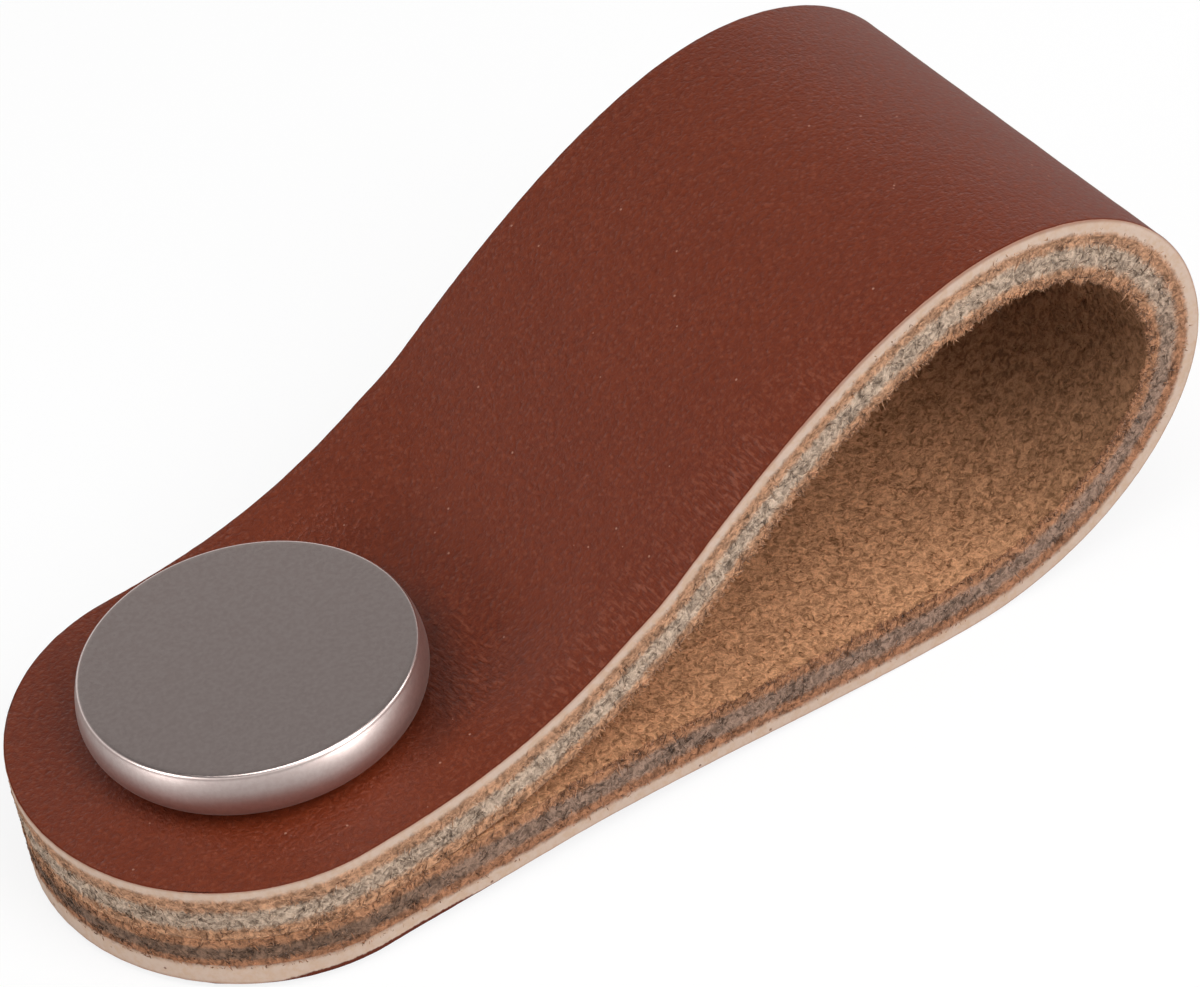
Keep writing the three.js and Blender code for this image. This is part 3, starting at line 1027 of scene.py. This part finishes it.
def suede_nap():
    """Brown brushed suede: short curling fibres with painted shade in the gaps between them and painted light
    on them, and painted shade at the bend's inside.
    """
    material, tree = new_material("suede_nap")
    place = millimetres(tree)
    tone, height = fibrous_tone(tree, place, 2.3, 4.8, 0.12)
    along = surface_value(tree, "along")
    # Painted shade on the nap at the bend's inside, then painted shade in the gaps between fibres and painted
    # light on them
    bend = between(tree, along, *SHADED_NAP_SPAN)
    shade = maths(tree, "MULTIPLY_ADD", bend, NAP_BEND_SHADE - 1, 1.0)
    base = toned(tree, mix_colours(tree, 1.0, NAP, shade, "MULTIPLY"), tone, NAP_GAP_SHADE, NAP_LIT)
    normal = bump(tree, height, 0.17, 0.9)
    finish_surface(tree, {"Base Color": base, "Roughness": 0.9, "Normal": normal, "Specular IOR Level": 0.12,
                          "Sheen Weight": 0.12, "Sheen Roughness": 0.5, "Sheen Tint": NAP_SHEEN})
    return material


def cut_suede():
    """The lining's cut edge: an undyed fibrous core between two orange-brown borders."""
    material, tree = new_material("cut_suede")
    place = millimetres(tree)
    tone, height = fibrous_tone(tree, place, 2.2, 4.6, 0.24)
    core = by_leg(tree, CORE_BACK, CORE_UPPER)
    core = mix_colours(tree, remap(tree, surface_value(tree, "along"), 24.0, 9.0), core, CORE_END)
    fuzz = by_leg(tree, FUZZ_BACK, FUZZ_UPPER)
    border = by_leg(tree, BORDER_BACK, BORDER_UPPER)

    share = maths(tree, "ADD", surface_value(tree, "share"), wander_at(tree, place, 1.9, 4.0, 0.7, 0.32))
    outside = remap(tree, share, 0.3, 0.12)
    inside = remap(tree, share, 0.6, 0.8)
    base = mix_colours(tree, outside, mix_colours(tree, inside, core, border), fuzz)
    # Fibrous flecks, with painted shade in the gaps between fibres and painted light on them
    base = toned(tree, base, tone, CORE_GAP_SHADE, CORE_LIT)
    normal = bump(tree, height, 0.16, 0.9)
    finish_surface(tree, {"Base Color": base, "Roughness": 0.9, "Normal": normal, "Specular IOR Level": 0.12,
                          "Sheen Weight": 0.1, "Sheen Roughness": 0.5})
    return material


def satin_metal():
    """Warm grey turned metal with a fine satin finish, smoother on the faced top."""
    material, tree = new_material("satin_metal")
    place = millimetres(tree)
    split, radius = from_screw_axis(tree, place)
    stretched = product(tree, radius, 14.0)
    turned = node(tree, "CombineXYZ", {"X": stretched, "Y": split["Z"], "Z": 0.0}).outputs[0]
    rings = noise_at(tree, turned, 1.0, 2.0)
    grain = noise_at(tree, place, 22.0, 2.0)
    speckle = noise_at(tree, place, 3.5, 4.0, 0.7)
    base = mix_colours(tree, remap(tree, speckle, 0.35, 0.65), METAL, METAL_WORN)
    faced = remap(tree, split["Z"], CAP_TOP - 0.12, CAP_TOP - 0.02)
    smoother = maths(tree, "MULTIPLY_ADD", faced, -0.14, 0.36)
    roughness = maths(tree, "MULTIPLY_ADD", grain, 0.06, smoother)
    normal = bump(tree, maths(tree, "MULTIPLY_ADD", rings, 0.35, grain), 0.0016, 0.5)
    finish_surface(tree, {"Base Color": base, "Metallic": 1.0, "Roughness": roughness, "Normal": normal})
    return material


# Strength of the even light, and of what reflections show at the horizon and overhead
WORLD_DIFFUSE = 0.22
GLOSSY_HORIZON = 1.2
GLOSSY_ABOVE = 0.15


def seen_and_mirrored(tree):
    """1 for what the camera sees straight or through glass, and 1 for what a reflection shows."""
    path = node(tree, "LightPath").outputs
    seen = maths(tree, "ADD", path["Is Camera Ray"], path["Is Transmission Ray"], clamp=True)
    return seen, path["Is Glossy Ray"]


def make_world():
    """White behind the object, brighter near the horizon in reflections, and even light for the rest."""
    world = bpy.data.worlds.new("studio")
    bpy.context.scene.world = world
    world.use_nodes = True
    tree = world.node_tree
    tree.nodes.clear()
    seen, mirrored = seen_and_mirrored(tree)
    direction = node(tree, "TexCoord").outputs["Generated"]
    height = node(tree, "SeparateXYZ", {0: direction}).outputs["Z"]
    glossy = remap(tree, height, 0.0, 0.8, GLOSSY_HORIZON, GLOSSY_ABOVE)
    strength = product(tree, glossy, mirrored)
    diffuse = maths(tree, "SUBTRACT", 1.0, mirrored)
    strength = maths(tree, "MULTIPLY_ADD", diffuse, WORLD_DIFFUSE, strength)
    strength = maths(tree, "MULTIPLY_ADD", strength, maths(tree, "SUBTRACT", 1.0, seen), seen)
    back = node(tree, "Background", {"Color": (1, 1, 1, 1), "Strength": strength})
    node(tree, "OutputWorld", {"Surface": back.outputs[0]})


LAMP_TARGET = (18.0, 0.0, 8.0)
LAMP_DISTANCE = 420
# Lamps: name, degrees round from +X, degrees up, width, height and radiance
SOFTBOXES = [
    ("key_softbox", -74, 45, 260, 260, 4.55),
    ("top_softbox", -100, 78, 260, 260, 3.1),
    ("right_softbox", -20, 22, 90, 180, 6.5),
    ("left_softbox", 180, 14, 110, 200, 7.0),
]
# Bright cards that show in reflections alone
CARDS = [
    ("right_card", -70, 8, 110, 120, 22.0),
    ("left_card", 181, 9, 140, 130, 7.0),
]


def make_lights():
    for name, turn, rise, width, height, radiance in SOFTBOXES + CARDS:
        light = bpy.data.lights.new(name, "AREA")
        light.shape = "RECTANGLE"
        light.size = width * MM
        light.size_y = height * MM
        light.energy = radiance * math.pi * light.size * light.size_y
        around, up = math.radians(turn), math.radians(rise)
        away = np.array([math.cos(around) * math.cos(up), math.sin(around) * math.cos(up), math.sin(up)])
        lamp = new_object(name, light)
        lamp.location = Vector((np.array(LAMP_TARGET) + away * LAMP_DISTANCE) * MM)
        lamp.rotation_euler = Vector(away).to_track_quat("Z", "Y").to_euler()
        if name.endswith("_card"):
            lamp.visible_diffuse = False


# The floor lies under the tip of the rounded end and the belly of the free strap, just clear of both
FLOOR_REACH = 3000
FLOOR_SLOPE = BELLY_DROP / (NOSE_REACH - BELLY_SETBACK + END_REACH)
FLOOR_CLEARANCE = 0.045
FLOOR_GREY = 0.82
# How much of the floor shows as plain white, and how bright that is to the camera and in reflections
FLOOR_GLOW_SHARE = 0.82
FLOOR_GLOW_SEEN = 1.04
FLOOR_GLOW_MIRRORED = 0.36


def make_floor():
    """A plain white floor under the part's resting points."""
    material, tree = new_material("white_floor")
    seen, mirrored = seen_and_mirrored(tree)
    strength = product(tree, mirrored, FLOOR_GLOW_MIRRORED)
    strength = maths(tree, "MULTIPLY_ADD", seen, FLOOR_GLOW_SEEN, strength)
    matt = node(tree, "BsdfDiffuse", {"Color": (FLOOR_GREY, FLOOR_GREY, FLOOR_GREY, 1)}).outputs[0]
    glow = node(tree, "Emission", {"Color": (1, 1, 1, 1), "Strength": strength}).outputs[0]
    share = product(tree, maths(tree, "ADD", seen, mirrored, clamp=True), FLOOR_GLOW_SHARE)
    mixed = node(tree, "MixShader", {0: share, 1: matt, 2: glow})
    node(tree, "OutputMaterial", {"Surface": mixed.outputs[0]})

    sides = np.array([(-1, -1), (1, -1), (1, 1), (-1, 1)]) * FLOOR_REACH
    heights = -FLOOR_CLEARANCE - (sides[:, 0] + END_REACH) * FLOOR_SLOPE
    floor = mesh_object("floor", np.c_[sides, heights], [[0, 1, 2, 3]], materials=[material])


def make_camera():
    turn, rise, roll = (math.radians(v) for v in (CAMERA_AZIMUTH, CAMERA_ELEVATION, CAMERA_ROLL))
    back = Vector((math.sin(turn) * math.cos(rise), -math.cos(turn) * math.cos(rise), math.sin(rise)))
    right = Vector((math.cos(turn), math.sin(turn), 0))
    up = back.cross(right)
    rolled_right = right * math.cos(roll) + up * math.sin(roll)
    rolled_up = up * math.cos(roll) - right * math.sin(roll)
    data = bpy.data.cameras.new("camera")
    data.lens = CAMERA_LENS
    data.sensor_width = SENSOR_WIDTH
    data.clip_start, data.clip_end = CAMERA_CLIP
    camera = new_object("camera", data)
    place = (back * CAMERA_DISTANCE + rolled_right * CAMERA_RIGHT + rolled_up * CAMERA_UP) * MM
    turned = Matrix((rolled_right, rolled_up, back)).transposed()
    camera.matrix_world = Matrix.Translation(place) @ turned.to_4x4()
    bpy.context.scene.camera = camera


make_camera()
make_world()
make_lights()
make_floor()

strap = Strap()
grain = grain_leather()
pale = cut_leather()
nap = suede_nap()
cut = cut_suede()
metal = satin_metal()

leather = make_outer_leather(strap, [grain, pale, pale])
lining = make_lining(strap, [nap, cut, nap])
edge_fibres = make_edge_fibres(strap, [cut])
fringe = make_fringe(strap, [cut])
loose_nap = make_nap(strap, [nap])
cap = make_cap(metal)

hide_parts("outer_leather")
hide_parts("suede_lining")
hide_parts("cap")
for piece, slot in ((leather, "grain_leather"), (lining, "suede"), (edge_fibres, "suede"), (fringe, "suede"),
                    (loose_nap, "suede"), (cap, "cap_metal")):
    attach(piece, BODY)

bpy.context.scene.view_settings.view_transform = "Standard"
